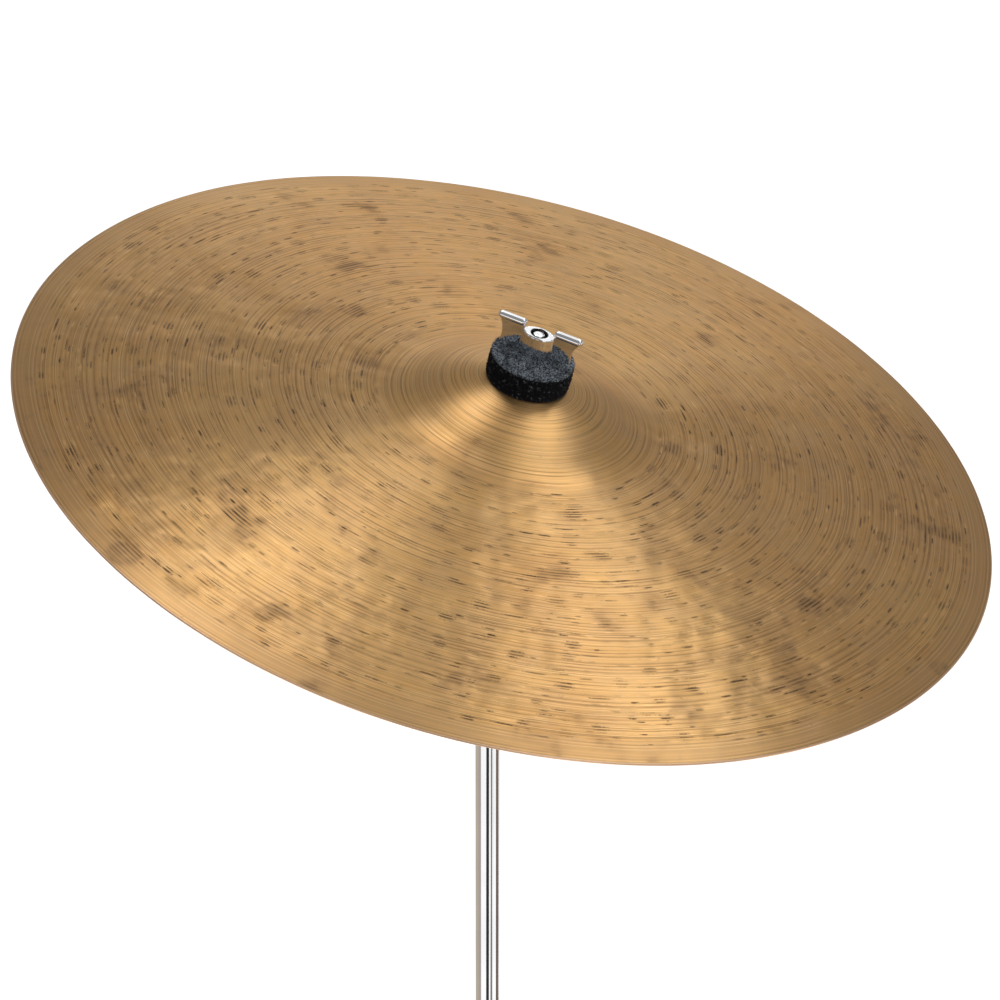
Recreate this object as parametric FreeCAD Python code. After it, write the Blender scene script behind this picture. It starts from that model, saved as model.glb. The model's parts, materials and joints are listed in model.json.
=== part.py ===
"""Crash cymbal on its light straight stand, in millimetres.

+Z is up. The origin is the point of the floor on the pole's axis. The cymbal leans towards -Y about a
hinge that lies along X. Whatever turns with the tilter's upper half is drawn upright in "rod space",
where the hinge is at height 0 and Z runs up the cymbal's rod, and is then leant over by tilt_angle.
"""

import FreeCAD
import Part

import math
import os

from FreeCAD import Vector

X_AXIS = Vector(1, 0, 0)
Y_AXIS = Vector(0, 1, 0)
Z_AXIS = Vector(0, 0, 1)
ORIGIN = Vector(0, 0, 0)

# ---- driving dimensions -------------------------------------------------------------------------
# Cymbal
cymbal_radius = 228.6
cymbal_thickness = 1.0
cymbal_hole_radius = 6.35
cymbal_height = 43.0
bell_radius_of_curve = 96.0
bow_rise = 27.0
bell_fillet_radius = 42.0

# Tilter and the rod that carries the cymbal
tilt_angle = 19.0
hinge_height = 905.0
bell_top_on_rod = 82.0
knuckle_radius = 15.0
knuckle_half_gap = 0.75
knuckle_width = 10.0
axle_radius = 3.0
rod_radius = 3.95
rod_shank_radius = 4.75
rod_tip = 105.4

# Tubes: outer radius and wall
base_tube_radius = 11.0
base_tube_wall = 1.2
base_tube_bottom = 20.0
base_tube_top = 450.0
mid_tube_radius = 8.0
mid_tube_wall = 1.1
mid_tube_bottom = 150.0
mid_tube_top = 590.0
top_tube_radius = 6.0
top_tube_wall = 1.2
top_tube_bottom = 330.0
top_tube_top = 884.0

# Tripod
leg_azimuths = (90.0, 210.0, 330.0)
foot_reach = 224.0
leg_angle = 45.0
pivot_radius = 24.0
foot_end_height = 8.0
brace_span = 124.0
leg_strip = (12.0, 2.0)
brace_strip = (10.0, 1.9)
leg_gap_half = 7.0
brace_gap_half = 4.9
rivet_radius = 2.5
pin_clearance = 0.1
side_clearance = 0.1

# ---- derived places -----------------------------------------------------------------------------
bow_sphere_radius = (cymbal_radius**2 + bow_rise**2) / (2 * bow_rise)
rim_on_rod = bell_top_on_rod - cymbal_height
leg_sine = math.sin(math.radians(leg_angle))
leg_cosine = math.cos(math.radians(leg_angle))
leg_length = (foot_reach - pivot_radius) / leg_sine
leg_pivot_height = foot_end_height + leg_length * leg_cosine
brace_pivot_height = leg_pivot_height - 2 * brace_span * leg_cosine
hinge_point = Vector(0, 0, hinge_height)


# ---- shape helpers ------------------------------------------------------------------------------
def cylinder(radius, low, high):
    """A cylinder round the Z axis between two heights."""
    return Part.makeCylinder(radius, high - low, Vector(0, 0, low), Z_AXIS)


def ring(outer, inner, low, high):
    """A tube round the Z axis between two heights."""
    return cylinder(outer, low, high).cut(cylinder(inner, low, high))


def bar(radius, start, end):
    """A round bar from one point to another."""
    along = end - start
    return Part.makeCylinder(radius, along.Length, start, along)


def block(low, high):
    """A box between two corners."""
    size = Vector(*high) - Vector(*low)
    return Part.makeBox(size.x, size.y, size.z, Vector(*low))


def turned(edges):
    """A closed outline of edges in the XZ plane, turned round the Z axis."""
    return Part.Face(Part.Wire(Part.__sortEdges__(edges))).revolve(ORIGIN, Z_AXIS, 360)


def turned_points(points):
    """A closed outline of (radius, height) corners, turned round the Z axis."""
    corners = [Vector(r, 0, z) for r, z in points]
    return turned(Part.makePolygon(corners + corners[:1]).Edges)


def line(start, end):
    return Part.LineSegment(start, end).toShape()


def arc(start, middle, end):
    return Part.Arc(start, middle, end).toShape()


def crown(radius, base, rise):
    """The arc of a ball's cap, from the axis at the top down to its rim at the base height."""
    ball = (radius**2 + rise**2) / (2 * rise)
    centre = base + rise - ball
    halfway = radius * 0.6
    middle = Vector(halfway, 0, centre + math.sqrt(ball**2 - halfway**2))
    return arc(Vector(0, 0, base + rise), middle, Vector(radius, 0, base))


def fused(shapes):
    """One solid from several that overlap or touch."""
    first, *rest = shapes
    return first.multiFuse(rest).removeSplitter()


def rounded_puck(radius, low, high, edge):
    """A disc with rounded rims."""
    side = radius - edge
    bend = edge * (1 - math.sqrt(0.5))
    top_mid = Vector(radius - bend, 0, high - bend)
    low_mid = Vector(radius - bend, 0, low + bend)
    return turned(
        [
            line(Vector(0, 0, low), Vector(side, 0, low)),
            arc(Vector(side, 0, low), low_mid, Vector(radius, 0, low + edge)),
            line(Vector(radius, 0, low + edge), Vector(radius, 0, high - edge)),
            arc(Vector(radius, 0, high - edge), top_mid, Vector(side, 0, high)),
            line(Vector(side, 0, high), Vector(0, 0, high)),
            line(Vector(0, 0, high), Vector(0, 0, low)),
        ]
    )


def placed(shape, turns=(), shift=ORIGIN):
    """A copy of shape, turned about the origin by each (axis, degrees) in order, then moved."""
    moved = shape.copy()
    for axis, degrees in turns:
        moved.rotate(ORIGIN, axis, degrees)
    moved.translate(shift)
    return moved


def leant(shape):
    """Takes a shape from rod space to its place on the stand."""
    return placed(shape, [(X_AXIS, tilt_angle)], hinge_point)


# ---- fasteners ----------------------------------------------------------------------------------
wing_foot_radius = 9.5
wing_foot_height = 2.0
wing_hub_height = 15.0
wing_hub_chamfer = 0.5
wing_hub_base = (8.6, 5.5)
wing_hub_top = (8.2, 5.1)
wing_root = 4.0
wing_low_reach = 16.9
wing_low_rise = 3.6
wing_tip_radius = 20.4
wing_tip_height = 19.5
wing_thickness = 2.6
wing_bar_radius = 1.85
wing_bar_start = 8.6
small_wing = 0.85
nut_clearance = 0.08
nut_countersink = 0.2
stem_crown = 0.5


def lens(half_length, half_width, height):
    """A pointed oval along X: two arcs that meet at its ends."""
    left = Vector(-half_length, 0, height)
    right = Vector(half_length, 0, height)
    near = arc(left, Vector(0, -half_width, height), right)
    far = arc(right, Vector(0, half_width, height), left)
    return Part.Wire([near, far])


def wing_hub():
    """The nut's middle: a pointed oval that narrows upwards and runs out into the wings."""
    length, width = wing_hub_top
    sections = [
        lens(*wing_hub_base, 0),
        lens(length, width, wing_hub_height - wing_hub_chamfer),
        lens(length - 1.2 * wing_hub_chamfer, width - wing_hub_chamfer, wing_hub_height),
    ]
    return Part.makeLoft(sections, True, True)


def wing_outline():
    """The flat outline of one wing, in the XZ plane, with its outer edge hollow."""
    low = wing_foot_height + 0.2
    high = wing_tip_height - wing_bar_radius
    shoulder = wing_hub_height - 0.6
    corners = [
        Vector(wing_root, 0, low),
        Vector(wing_low_reach, 0, low + wing_low_rise),
        Vector(wing_tip_radius - 0.6, 0, high),
        Vector(wing_bar_start - 1.0, 0, high),
        Vector(wing_bar_start - 1.6, 0, shoulder),
        Vector(wing_root, 0, shoulder),
    ]
    hollow = Vector(wing_low_reach, 0, (low + wing_low_rise + high) / 2)
    edges = [line(corners[0], corners[1]), arc(corners[1], hollow, corners[2])]
    edges += [line(a, b) for a, b in zip(corners[2:], corners[3:] + corners[:1])]
    return Part.Face(Part.Wire(edges))


def wing_nut(hole_radius, size=1.0):
    """A butterfly nut standing on z = 0, its wings along X."""
    foot = cylinder(wing_foot_radius, 0, wing_foot_height)
    plate = wing_outline().extrude(Vector(0, wing_thickness, 0))
    plate.translate(Vector(0, -wing_thickness / 2, 0))
    bar_height = wing_tip_height - wing_bar_radius
    inner = Vector(wing_bar_start, 0, bar_height)
    outer = Vector(wing_tip_radius - wing_bar_radius, 0, bar_height)
    wing = [
        plate,
        bar(wing_bar_radius, inner, outer),
        Part.makeSphere(wing_bar_radius, inner),
        Part.makeSphere(wing_bar_radius, outer),
    ]
    other = [placed(piece, [(Z_AXIS, 180)]) for piece in wing]
    nut = fused([wing_hub(), foot, *wing, *other])
    if size != 1.0:
        nut.scale(size, ORIGIN)
    top = wing_hub_height * size
    countersink = Part.makeCone(hole_radius, hole_radius + nut_countersink, nut_countersink)
    countersink.translate(Vector(0, 0, top - nut_countersink))
    return nut.cut(cylinder(hole_radius, -1, top + 1)).cut(countersink)


def screw_stem(radius, length, tip_radius):
    """A round stem on z = 0 with a chamfered, slightly domed tip."""
    tip = Vector(tip_radius, 0, length - stem_crown)
    shoulder = Vector(radius, 0, tip.z - (radius - tip_radius))
    return turned(
        [
            line(ORIGIN, Vector(radius, 0, 0)),
            line(Vector(radius, 0, 0), shoulder),
            line(shoulder, tip),
            crown(tip_radius, tip.z, stem_crown),
            line(Vector(0, 0, length), ORIGIN),
        ]
    )


def domed_head(radius, height):
    """A mushroom bolt head on z = 0, rising towards +Z."""
    rim = Vector(radius, 0, height * 0.3)
    return turned(
        [
            line(ORIGIN, Vector(radius, 0, 0)),
            line(Vector(radius, 0, 0), rim),
            crown(radius, rim.z, height - rim.z),
            line(Vector(0, 0, height), ORIGIN),
        ]
    )


# ---- cymbal -------------------------------------------------------------------------------------
def cymbal():
    """A shell of even thickness: a spherical bell, a hollow fillet and a wide spherical bow."""
    bell_centre = bell_top_on_rod - bell_radius_of_curve
    bow_centre = rim_on_rod + bow_rise - bow_sphere_radius
    near = bell_radius_of_curve + bell_fillet_radius
    far = bow_sphere_radius + bell_fillet_radius
    apart = bell_centre - bow_centre
    fillet_z = (far**2 - near**2 + apart**2) / (2 * apart) + bow_centre
    fillet_r = math.sqrt(far**2 - (fillet_z - bow_centre) ** 2)
    fillet_centre = Vector(fillet_r, 0, fillet_z)

    def on_sphere(centre_z, radius, r):
        return Vector(r, 0, centre_z + math.sqrt(radius**2 - r**2))

    def skin(depth):
        """The edges of one face of the sheet, depth below the top face."""
        bell_r = bell_radius_of_curve - depth
        bow_r = bow_sphere_radius - depth
        fillet = bell_fillet_radius + depth
        hole = on_sphere(bell_centre, bell_r, cymbal_hole_radius)
        rim = on_sphere(bow_centre, bow_r, cymbal_radius)
        bell_join = Vector(0, 0, bell_centre)
        bell_join += (fillet_centre - bell_join).normalize() * bell_r
        bow_join = Vector(0, 0, bow_centre)
        bow_join += (fillet_centre - bow_join).normalize() * bow_r
        between = (bell_join + bow_join) / 2 - fillet_centre
        fillet_mid = fillet_centre + between.normalize() * fillet
        bell_mid = on_sphere(bell_centre, bell_r, (hole.x + bell_join.x) / 2)
        bow_mid = on_sphere(bow_centre, bow_r, (bow_join.x + rim.x) / 2)
        edges = [
            arc(hole, bell_mid, bell_join),
            arc(bell_join, fillet_mid, bow_join),
            arc(bow_join, bow_mid, rim),
        ]
        return hole, rim, edges

    top_hole, top_rim, top = skin(0)
    low_hole, low_rim, low = skin(cymbal_thickness)
    return turned(top + low + [line(top_hole, low_hole), line(top_rim, low_rim)])


def bell_ball(offset):
    """The ball whose surface lies offset outside the bell's top face."""
    centre = Vector(0, 0, bell_top_on_rod - bell_radius_of_curve)
    return Part.makeSphere(bell_radius_of_curve + offset, centre)


# ---- what holds the cymbal, in rod space --------------------------------------------------------
felt_contact_gap = 0.1
upper_felt_radius = 19.2
upper_felt_low = 78.0
upper_felt_top = 92.5
lower_felt_radius = 18.0
lower_felt_low = 69.6
lower_felt_high = 84.0
cup_low = 68.0
cup_radius = 20.2
cup_rim_height = 4.4
cup_inner_radius = 18.9
cup_floor = 1.5
seat_washer_radius = 12.5
washer_clearance = 0.15
sleeve_radius = 5.7
sleeve_bore = 4.15
sleeve_low = 62.5
sleeve_high = 88.0
sleeve_flange_radius = 9.5
sleeve_flange_height = 2.5
shank_low = 18.0
shank_high = 57.0
rod_collar_radius = 9.0
rod_tip_radius = 2.4
grub_height = 27.0
grub_radius = 2.0
grub_length = 5.2
grub_key_radius = 1.1
grub_key_depth = 2.0
nut_seat = 90.4
wing_turn = -61.0


def upper_felt():
    """A thick felt that sits on the bell, with the round seat that the nut has pressed into it."""
    above = upper_felt_top + 1
    puck = rounded_puck(upper_felt_radius, upper_felt_low, upper_felt_top, 1.2)
    puck = puck.cut(bell_ball(felt_contact_gap))
    puck = puck.cut(cylinder(sleeve_radius + 0.1, 0, sleeve_high + 0.6))
    puck = puck.cut(cylinder(rod_radius + 0.35, 0, above))
    return puck.cut(cylinder(wing_foot_radius + washer_clearance, nut_seat - 0.05, above))


def lower_felt():
    """The felt between the cup washer and the underside of the bell."""
    puck = rounded_puck(lower_felt_radius, lower_felt_low, lower_felt_high, 1.0)
    puck = puck.common(bell_ball(-cymbal_thickness - felt_contact_gap))
    return puck.cut(cylinder(sleeve_radius + 0.1, 0, lower_felt_high))


def cup_washer():
    """A pressed steel dish with its rim turned up round the lower felt."""
    bore = sleeve_radius + washer_clearance
    floor = cup_low + cup_floor
    rim = cup_low + cup_rim_height
    return turned_points(
        [
            (bore, cup_low),
            (cup_radius - 1.4, cup_low),
            (cup_radius, cup_low + 1.4),
            (cup_radius, rim),
            (cup_inner_radius, rim),
            (cup_inner_radius, floor + 0.6),
            (cup_inner_radius - 0.6, floor),
            (bore, floor),
        ]
    )


def seat_washer():
    """The flat steel washer between the sleeve's flange and the cup washer."""
    low = sleeve_low + sleeve_flange_height + 0.1
    return ring(seat_washer_radius, sleeve_radius + washer_clearance, low, cup_low - 0.1)


def cymbal_sleeve():
    """The flanged nylon sleeve that keeps the cymbal off the thread."""
    flange_top = sleeve_low + sleeve_flange_height
    return turned_points(
        [
            (sleeve_bore, sleeve_low),
            (sleeve_flange_radius, sleeve_low),
            (sleeve_flange_radius, flange_top),
            (sleeve_radius, flange_top),
            (sleeve_radius, sleeve_high - 0.8),
            (sleeve_radius - 0.6, sleeve_high),
            (sleeve_bore, sleeve_high),
        ]
    )


def cymbal_rod():
    """The rod: a plain shank, a fixed collar and an M8 end with a domed tip."""
    shank = cylinder(rod_shank_radius, shank_low, shank_high)
    collar = rounded_puck(rod_collar_radius, shank_high, sleeve_low - 0.1, 1.0)
    stem = screw_stem(rod_radius, rod_tip - shank_high, rod_tip_radius)
    stem.translate(Vector(0, 0, shank_high))
    return fused([shank, collar, stem])


def rod_grub_screw():
    """The set screw that holds the rod's shank in the tilter's boss."""
    key = cylinder(grub_key_radius, grub_length - grub_key_depth, grub_length + 1)
    screw = cylinder(grub_radius, 0, grub_length).cut(key)
    return placed(screw, [(X_AXIS, 90)], Vector(0, -rod_shank_radius, grub_height))


def cymbal_wing_nut():
    """The butterfly nut that holds the cymbal down, turned to where it stopped."""
    nut = wing_nut(rod_radius + nut_clearance)
    return placed(nut, [(Z_AXIS, wing_turn)], Vector(0, 0, nut_seat))


# ---- tilter -------------------------------------------------------------------------------------
socket_radius = 9.5
socket_low = 858.0
socket_high = 888.0
boss_radius = 9.2
boss_low = 16.2
boss_high = 34.0
base_pin_height = 870.0
cross_pin_radius = 1.5
tilter_washer_width = 1.5
grip_flutes = 24
grip_flute_radius = 1.1
disc_far = knuckle_half_gap + knuckle_width


def knuckle_disc(side):
    """One half of the hinge: a disc along X with a raised outer rim, on the -X or +X side."""
    inner = side * knuckle_half_gap
    outer = side * disc_far
    disc = bar(knuckle_radius, Vector(inner, 0, 0), Vector(outer, 0, 0))
    dish = bar(knuckle_radius - 3.0, Vector(outer - side * 1.5, 0, 0), Vector(outer + side, 0, 0))
    hub = bar(8.0, Vector(outer - side * 2.0, 0, 0), Vector(outer, 0, 0))
    return disc.cut(dish).fuse(hub)


def rim_notches(side):
    """Grip flutes round the rim of one knuckle."""
    cutters = []
    for index in range(grip_flutes):
        angle = 2 * math.pi * index / grip_flutes
        reach = knuckle_radius + 0.7
        centre = Vector(side * 3.5, reach * math.cos(angle), reach * math.sin(angle))
        cutters.append(bar(grip_flute_radius, centre, centre + Vector(side * knuckle_width, 0, 0)))
    return Part.makeCompound(cutters)


def tilter_base():
    """The lower knuckle: a socket over the top tube, a neck and the -X half of the hinge."""
    socket = ring(socket_radius, top_tube_radius, socket_low, top_tube_top)
    cap = cylinder(socket_radius, top_tube_top, socket_high)
    neck = block((-disc_far + 1.5, -8.0, socket_high - 4), (-knuckle_half_gap, 8.0, hinge_height))
    half = placed(knuckle_disc(-1).cut(rim_notches(-1)), shift=hinge_point)
    whole = fused([socket, cap, neck, half])
    return whole.cut(tilter_axle_hole()).cut(cylinder(top_tube_radius, socket_low, top_tube_top))


def tilter_axle_hole():
    return bar(
        axle_radius + 0.05,
        Vector(-disc_far - 1, 0, hinge_height),
        Vector(disc_far + 1, 0, hinge_height),
    )


def tilter_head():
    """The upper knuckle in rod space: the +X half of the hinge, a neck and the rod's boss."""
    neck = block((knuckle_half_gap, -7.5, 4.0), (disc_far - 1.5, 7.5, grub_height))
    boss = cylinder(boss_radius, boss_low, boss_high)
    rim = Part.makeCone(boss_radius, boss_radius - 1.5, 1.5, Vector(0, 0, boss_high))
    half = knuckle_disc(1).cut(rim_notches(1))
    whole = fused([half, neck, boss, rim])
    axle = bar(axle_radius + pin_clearance, Vector(-1, 0, 0), Vector(disc_far + 1, 0, 0))
    grub = bar(grub_radius, Vector(0, 0, grub_height), Vector(0, -boss_radius - 1, grub_height))
    return whole.cut(axle).cut(cylinder(rod_shank_radius, shank_low, shank_high)).cut(grub)


def tilter_disc():
    """The friction washer between the two knuckles."""
    high = knuckle_half_gap - 0.05
    disc = ring(knuckle_radius - 0.8, axle_radius + 0.05, -knuckle_half_gap, high)
    return placed(disc, [(Y_AXIS, 90)], hinge_point)


def tilter_bolt():
    """The carriage bolt that is the tilter's hinge pin, its head on the -X side."""
    stem = screw_stem(axle_radius, 2 * disc_far + 12.0, 2.2)
    head = placed(domed_head(7.0, 3.2), [(X_AXIS, 180)])
    bolt = stem.fuse(head)
    return placed(bolt, [(Y_AXIS, 90)], Vector(-disc_far, 0, hinge_height))


def tilter_washer():
    washer = ring(7.5, axle_radius + washer_clearance, 0, tilter_washer_width)
    return placed(washer, [(Y_AXIS, 90)], Vector(disc_far + 0.05, 0, hinge_height))


def tilter_wing_nut():
    nut = wing_nut(axle_radius + nut_clearance, small_wing)
    seat = disc_far + tilter_washer_width + 0.1
    return placed(nut, [(Z_AXIS, 90), (Y_AXIS, 90)], Vector(seat, 0, hinge_height))


def tilter_base_pin():
    """The spring pin that fixes the lower knuckle to the top tube."""
    low = Vector(0, -socket_radius, base_pin_height)
    high = Vector(0, socket_radius, base_pin_height)
    return bar(cross_pin_radius, low, high)


# ---- tubes --------------------------------------------------------------------------------------
def top_tube():
    tube = ring(top_tube_radius, top_tube_radius - top_tube_wall, top_tube_bottom, top_tube_top)
    return tube.cut(tilter_base_pin())


def mid_tube():
    return ring(mid_tube_radius, mid_tube_radius - mid_tube_wall, mid_tube_bottom, mid_tube_top)


def base_tube():
    inner = base_tube_radius - base_tube_wall
    return ring(base_tube_radius, inner, base_tube_bottom, base_tube_top)


def end_plug(radius, wall, low):
    """A plastic plug pushed up into the open lower end of a tube."""
    return turned_points(
        [
            (0, low - 3.0),
            (radius - 1.0, low - 3.0),
            (radius, low - 2.0),
            (radius, low),
            (radius - wall - 0.02, low),
            (radius - wall - 0.02, low + 12.0),
            (0, low + 12.0),
        ]
    )


# ---- height clamps ------------------------------------------------------------------------------
clamp_below_tube_top = 20.0
clamp_above_tube_top = 12.0
clamp_wall = 4.2
clamp_ear_reach = 15.0
clamp_ear_half = 7.5
clamp_slot_half = 1.0
clamp_bolt_radius = 3.0
bush_lip = 2.0
bush_skirt = 26.0
lock_height = 13.0
lock_wall = 5.5
lock_bolt_out = 3.2
lock_ear_beyond = 4.2
lock_ear_half = 6.0
lock_slot_half = 0.8
lock_bolt_radius = 2.0
lock_key_half = 2.2
lock_gap = 0.1


def clamp_bolt_place(tube_radius, tube_top):
    """Where a clamp's bolt crosses the plane of its slot."""
    x = tube_radius + clamp_wall + clamp_ear_reach / 2 + 0.5
    return Vector(x, 0, tube_top + clamp_above_tube_top / 2 - 3.0)


def clamp_body(tube_radius, tube_top):
    """A cast collar on the top of a tube, split on +X, with an ear each side of the slot."""
    low = tube_top - clamp_below_tube_top
    high = tube_top + clamp_above_tube_top
    outer = tube_radius + clamp_wall
    bolt = clamp_bolt_place(tube_radius, tube_top)
    shell = rounded_puck(outer, low, high, 1.5)
    ear = bar(clamp_ear_half, bolt - Y_AXIS * clamp_ear_half, bolt + Y_AXIS * clamp_ear_half)
    root_low = (tube_radius + 1, -clamp_ear_half, bolt.z - clamp_ear_half)
    root_high = (bolt.x, clamp_ear_half, bolt.z + clamp_ear_half)
    whole = fused([shell, ear, block(root_low, root_high)])
    whole = whole.cut(cylinder(tube_radius, low - 1, high + 1))
    slot_low = (tube_radius - 1, -clamp_slot_half, low - 1)
    slot_high = (bolt.x + clamp_ear_half + 1, clamp_slot_half, high + 1)
    whole = whole.cut(block(slot_low, slot_high))
    hole = bar(clamp_bolt_radius + 0.1, bolt - Y_AXIS * 20, bolt + Y_AXIS * 20)
    return whole.cut(hole)


def clamp_bush(tube_radius, tube_wall, inner_radius, tube_top):
    """The nylon bush in a tube's mouth: a thin skirt inside the tube and a thick collar above."""
    skirt = tube_radius - tube_wall - 0.03
    collar = tube_radius - 0.05
    bore = inner_radius + 0.05
    top = tube_top + clamp_above_tube_top
    return turned_points(
        [
            (bore, tube_top - bush_skirt),
            (skirt, tube_top - bush_skirt),
            (skirt, tube_top),
            (collar, tube_top),
            (collar, top),
            (collar + 2.0, top),
            (collar + 2.0, top + bush_lip),
            (bore, top + bush_lip),
        ]
    )


def clamp_bolt(tube_radius, tube_top):
    """The bolt through a clamp's ears, its head on the -Y side and its tip on the +Y side."""
    bolt = clamp_bolt_place(tube_radius, tube_top)
    stem = screw_stem(clamp_bolt_radius, 2 * clamp_ear_half + 13.0, 2.2)
    head = placed(domed_head(6.5, 3.0), [(X_AXIS, 180)])
    return placed(stem.fuse(head), [(X_AXIS, -90)], bolt - Y_AXIS * clamp_ear_half)


def clamp_wing_nut(tube_radius, tube_top, turn):
    bolt = clamp_bolt_place(tube_radius, tube_top)
    nut = wing_nut(clamp_bolt_radius + nut_clearance, small_wing)
    turns = [(Z_AXIS, turn), (X_AXIS, -90)]
    return placed(nut, turns, bolt + Y_AXIS * (clamp_ear_half + 0.1))


def memory_lock(tube_radius, low, bore_gap):
    """A split ring with a key bolt, which rests on the clamp below and marks a height."""
    outer = tube_radius + lock_wall
    bolt_x = outer + lock_bolt_out
    high = low + lock_height
    middle = low + lock_height / 2
    ear_low = (tube_radius + 1, -lock_ear_half, low + 1)
    ear_high = (bolt_x + lock_ear_beyond, lock_ear_half, high - 1)
    slot_low = (tube_radius - 1, -lock_slot_half, low - 1)
    slot_high = (bolt_x + lock_ear_beyond + 1, lock_slot_half, high + 1)
    whole = fused([rounded_puck(outer, low, high, 1.2), block(ear_low, ear_high)])
    whole = whole.cut(cylinder(tube_radius + bore_gap, low - 1, high + 1))
    reach = Y_AXIS * (lock_ear_half + 1)
    centre = Vector(bolt_x, 0, middle)
    hole = bar(lock_bolt_radius + 0.1, centre - reach, centre + reach)
    return whole.cut(block(slot_low, slot_high)).cut(hole)


def memory_lock_bolt(tube_radius, low):
    """The square-headed bolt that a drum key turns."""
    bolt_x = tube_radius + lock_wall + lock_bolt_out
    collar_low = -lock_ear_half - 1.2
    key = lock_key_half
    stem = cylinder(lock_bolt_radius, -lock_ear_half, lock_ear_half + 1.5)
    collar = cylinder(3.6, collar_low, -lock_ear_half)
    square = block((-key, -key, collar_low - 5.3), (key, key, collar_low))
    bolt = fused([stem, collar, square])
    return placed(bolt, [(X_AXIS, -90)], Vector(bolt_x, 0, low + lock_height / 2))


# ---- tripod -------------------------------------------------------------------------------------
hub_half_height = 9.0
hub_wall = 4.5
lug_reach = 5.5
rivet_head = (4.2, 1.3)
rivet_fit = 0.03
screw_boss_radius = 6.5
screw_boss_length = 7.0
collar_bore = base_tube_radius + 0.1
collar_screw_radius = 3.0


def rivet(half_length, azimuth, radius, height):
    """A rivet across a pivot, tangent to the pole, with a low head just clear of each side."""
    reach = half_length + side_clearance
    stem = bar(rivet_radius, Vector(0, -reach, 0), Vector(0, reach, 0))
    head = domed_head(*rivet_head)
    ends = [
        placed(head, [(X_AXIS, -90)], Vector(0, reach, 0)),
        placed(head, [(X_AXIS, 90)], Vector(0, -reach, 0)),
    ]
    whole = fused([stem, *ends])
    whole.translate(Vector(radius, 0, height))
    return placed(whole, [(Z_AXIS, azimuth)])


def hub_casting(bore, height, lug_half, tall):
    """A ring round the base tube with three pivot lugs."""
    ring_low = height - tall
    ring_high = height + tall
    parts = [rounded_puck(base_tube_radius + hub_wall, ring_low, ring_high, 1.2)]
    for azimuth in leg_azimuths:
        root = block((base_tube_radius + 1, -lug_half, -lug_reach), (pivot_radius, lug_half, lug_reach))
        nose = bar(lug_reach, Vector(pivot_radius, -lug_half, 0), Vector(pivot_radius, lug_half, 0))
        hole = bar(
            rivet_radius + rivet_fit,
            Vector(pivot_radius, -lug_half - 1, 0),
            Vector(pivot_radius, lug_half + 1, 0),
        )
        lug = root.fuse(nose).cut(hole)
        parts.append(placed(lug, [(Z_AXIS, azimuth)], Vector(0, 0, height)))
    return fused(parts).cut(cylinder(bore, ring_low - 1, ring_high + 1))


def brace_hub():
    """The casting pinned round the foot of the base tube, on which the braces stand."""
    lug_half = brace_gap_half - side_clearance
    return hub_casting(base_tube_radius, brace_pivot_height, lug_half, hub_half_height)


def brace_hub_pin():
    """The cross pin that fixes the brace hub to the base tube."""
    reach = base_tube_radius + hub_wall
    height = brace_pivot_height + hub_half_height - 3.0
    return bar(cross_pin_radius, Vector(-reach, 0, height), Vector(reach, 0, height))


def leg_collar():
    """The sliding casting that the legs hang from, with a boss for its wing screw on -Y."""
    lug_half = leg_gap_half - side_clearance
    casting = hub_casting(collar_bore, leg_pivot_height, lug_half, hub_half_height)
    reach = base_tube_radius + hub_wall
    start = Vector(0, -base_tube_radius - 1, leg_pivot_height)
    end = Vector(0, -reach - screw_boss_length, leg_pivot_height)
    boss = bar(screw_boss_radius, start, end)
    hole = bar(collar_screw_radius + 0.08, Vector(0, 0, leg_pivot_height), end - Y_AXIS)
    inside = cylinder(collar_bore, 0, leg_pivot_height + 100)
    return casting.fuse(boss).removeSplitter().cut(inside).cut(hole)


def collar_wing_screw():
    """The wing screw that locks the collar: a butterfly head on a stem that stops at the tube."""
    seat = base_tube_radius + hub_wall + screw_boss_length + 1.6
    stem_length = seat - base_tube_radius - 0.05
    head = wing_nut(collar_screw_radius, small_wing)
    stem = cylinder(collar_screw_radius, -stem_length, wing_hub_height * small_wing - 2.0)
    screw = fused([head, stem])
    return placed(screw, [(Z_AXIS, 35), (X_AXIS, 90)], Vector(0, -seat, leg_pivot_height))


def strip(width, thickness, inner_half, start, end):
    """A flat strip with rounded ends, beside the leg's middle plane, along Z between two heights."""
    faces = [(inner_half, inner_half + thickness), (-inner_half - thickness, -inner_half)]
    strips = []
    for low_y, high_y in faces:
        body = block((-width / 2, low_y, start), (width / 2, high_y, end))
        ends = [
            bar(width / 2, Vector(0, low_y, level), Vector(0, high_y, level))
            for level in (start, end)
        ]
        strips.append(fused([body, *ends]))
    return strips


def pivot_hole(level, radius):
    return bar(radius, Vector(0, -20, level), Vector(0, 20, level))


def leg_strips():
    """A leg drawn hanging straight down from its pivot at the origin."""
    width, thickness = leg_strip
    strips = strip(width, thickness, leg_gap_half, -leg_length, 0)
    holes = [
        pivot_hole(0, rivet_radius + pin_clearance),
        pivot_hole(-brace_span, rivet_radius + rivet_fit),
    ]
    return Part.makeCompound([one.cut(holes[0]).cut(holes[1]) for one in strips])


def leg_place(shape, azimuth):
    """Swings a hanging leg piece out to the leg's angle and puts it on its hub."""
    return placed(
        placed(shape, [(Y_AXIS, -leg_angle)], Vector(pivot_radius, 0, leg_pivot_height)),
        [(Z_AXIS, azimuth)],
    )


def brace_place(shape, azimuth):
    """Leans an upright brace piece out from its pivot on the brace hub."""
    return placed(
        placed(shape, [(Y_AXIS, leg_angle)], Vector(pivot_radius, 0, brace_pivot_height)),
        [(Z_AXIS, azimuth)],
    )


def leg(azimuth):
    return leg_place(leg_strips(), azimuth)


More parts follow.
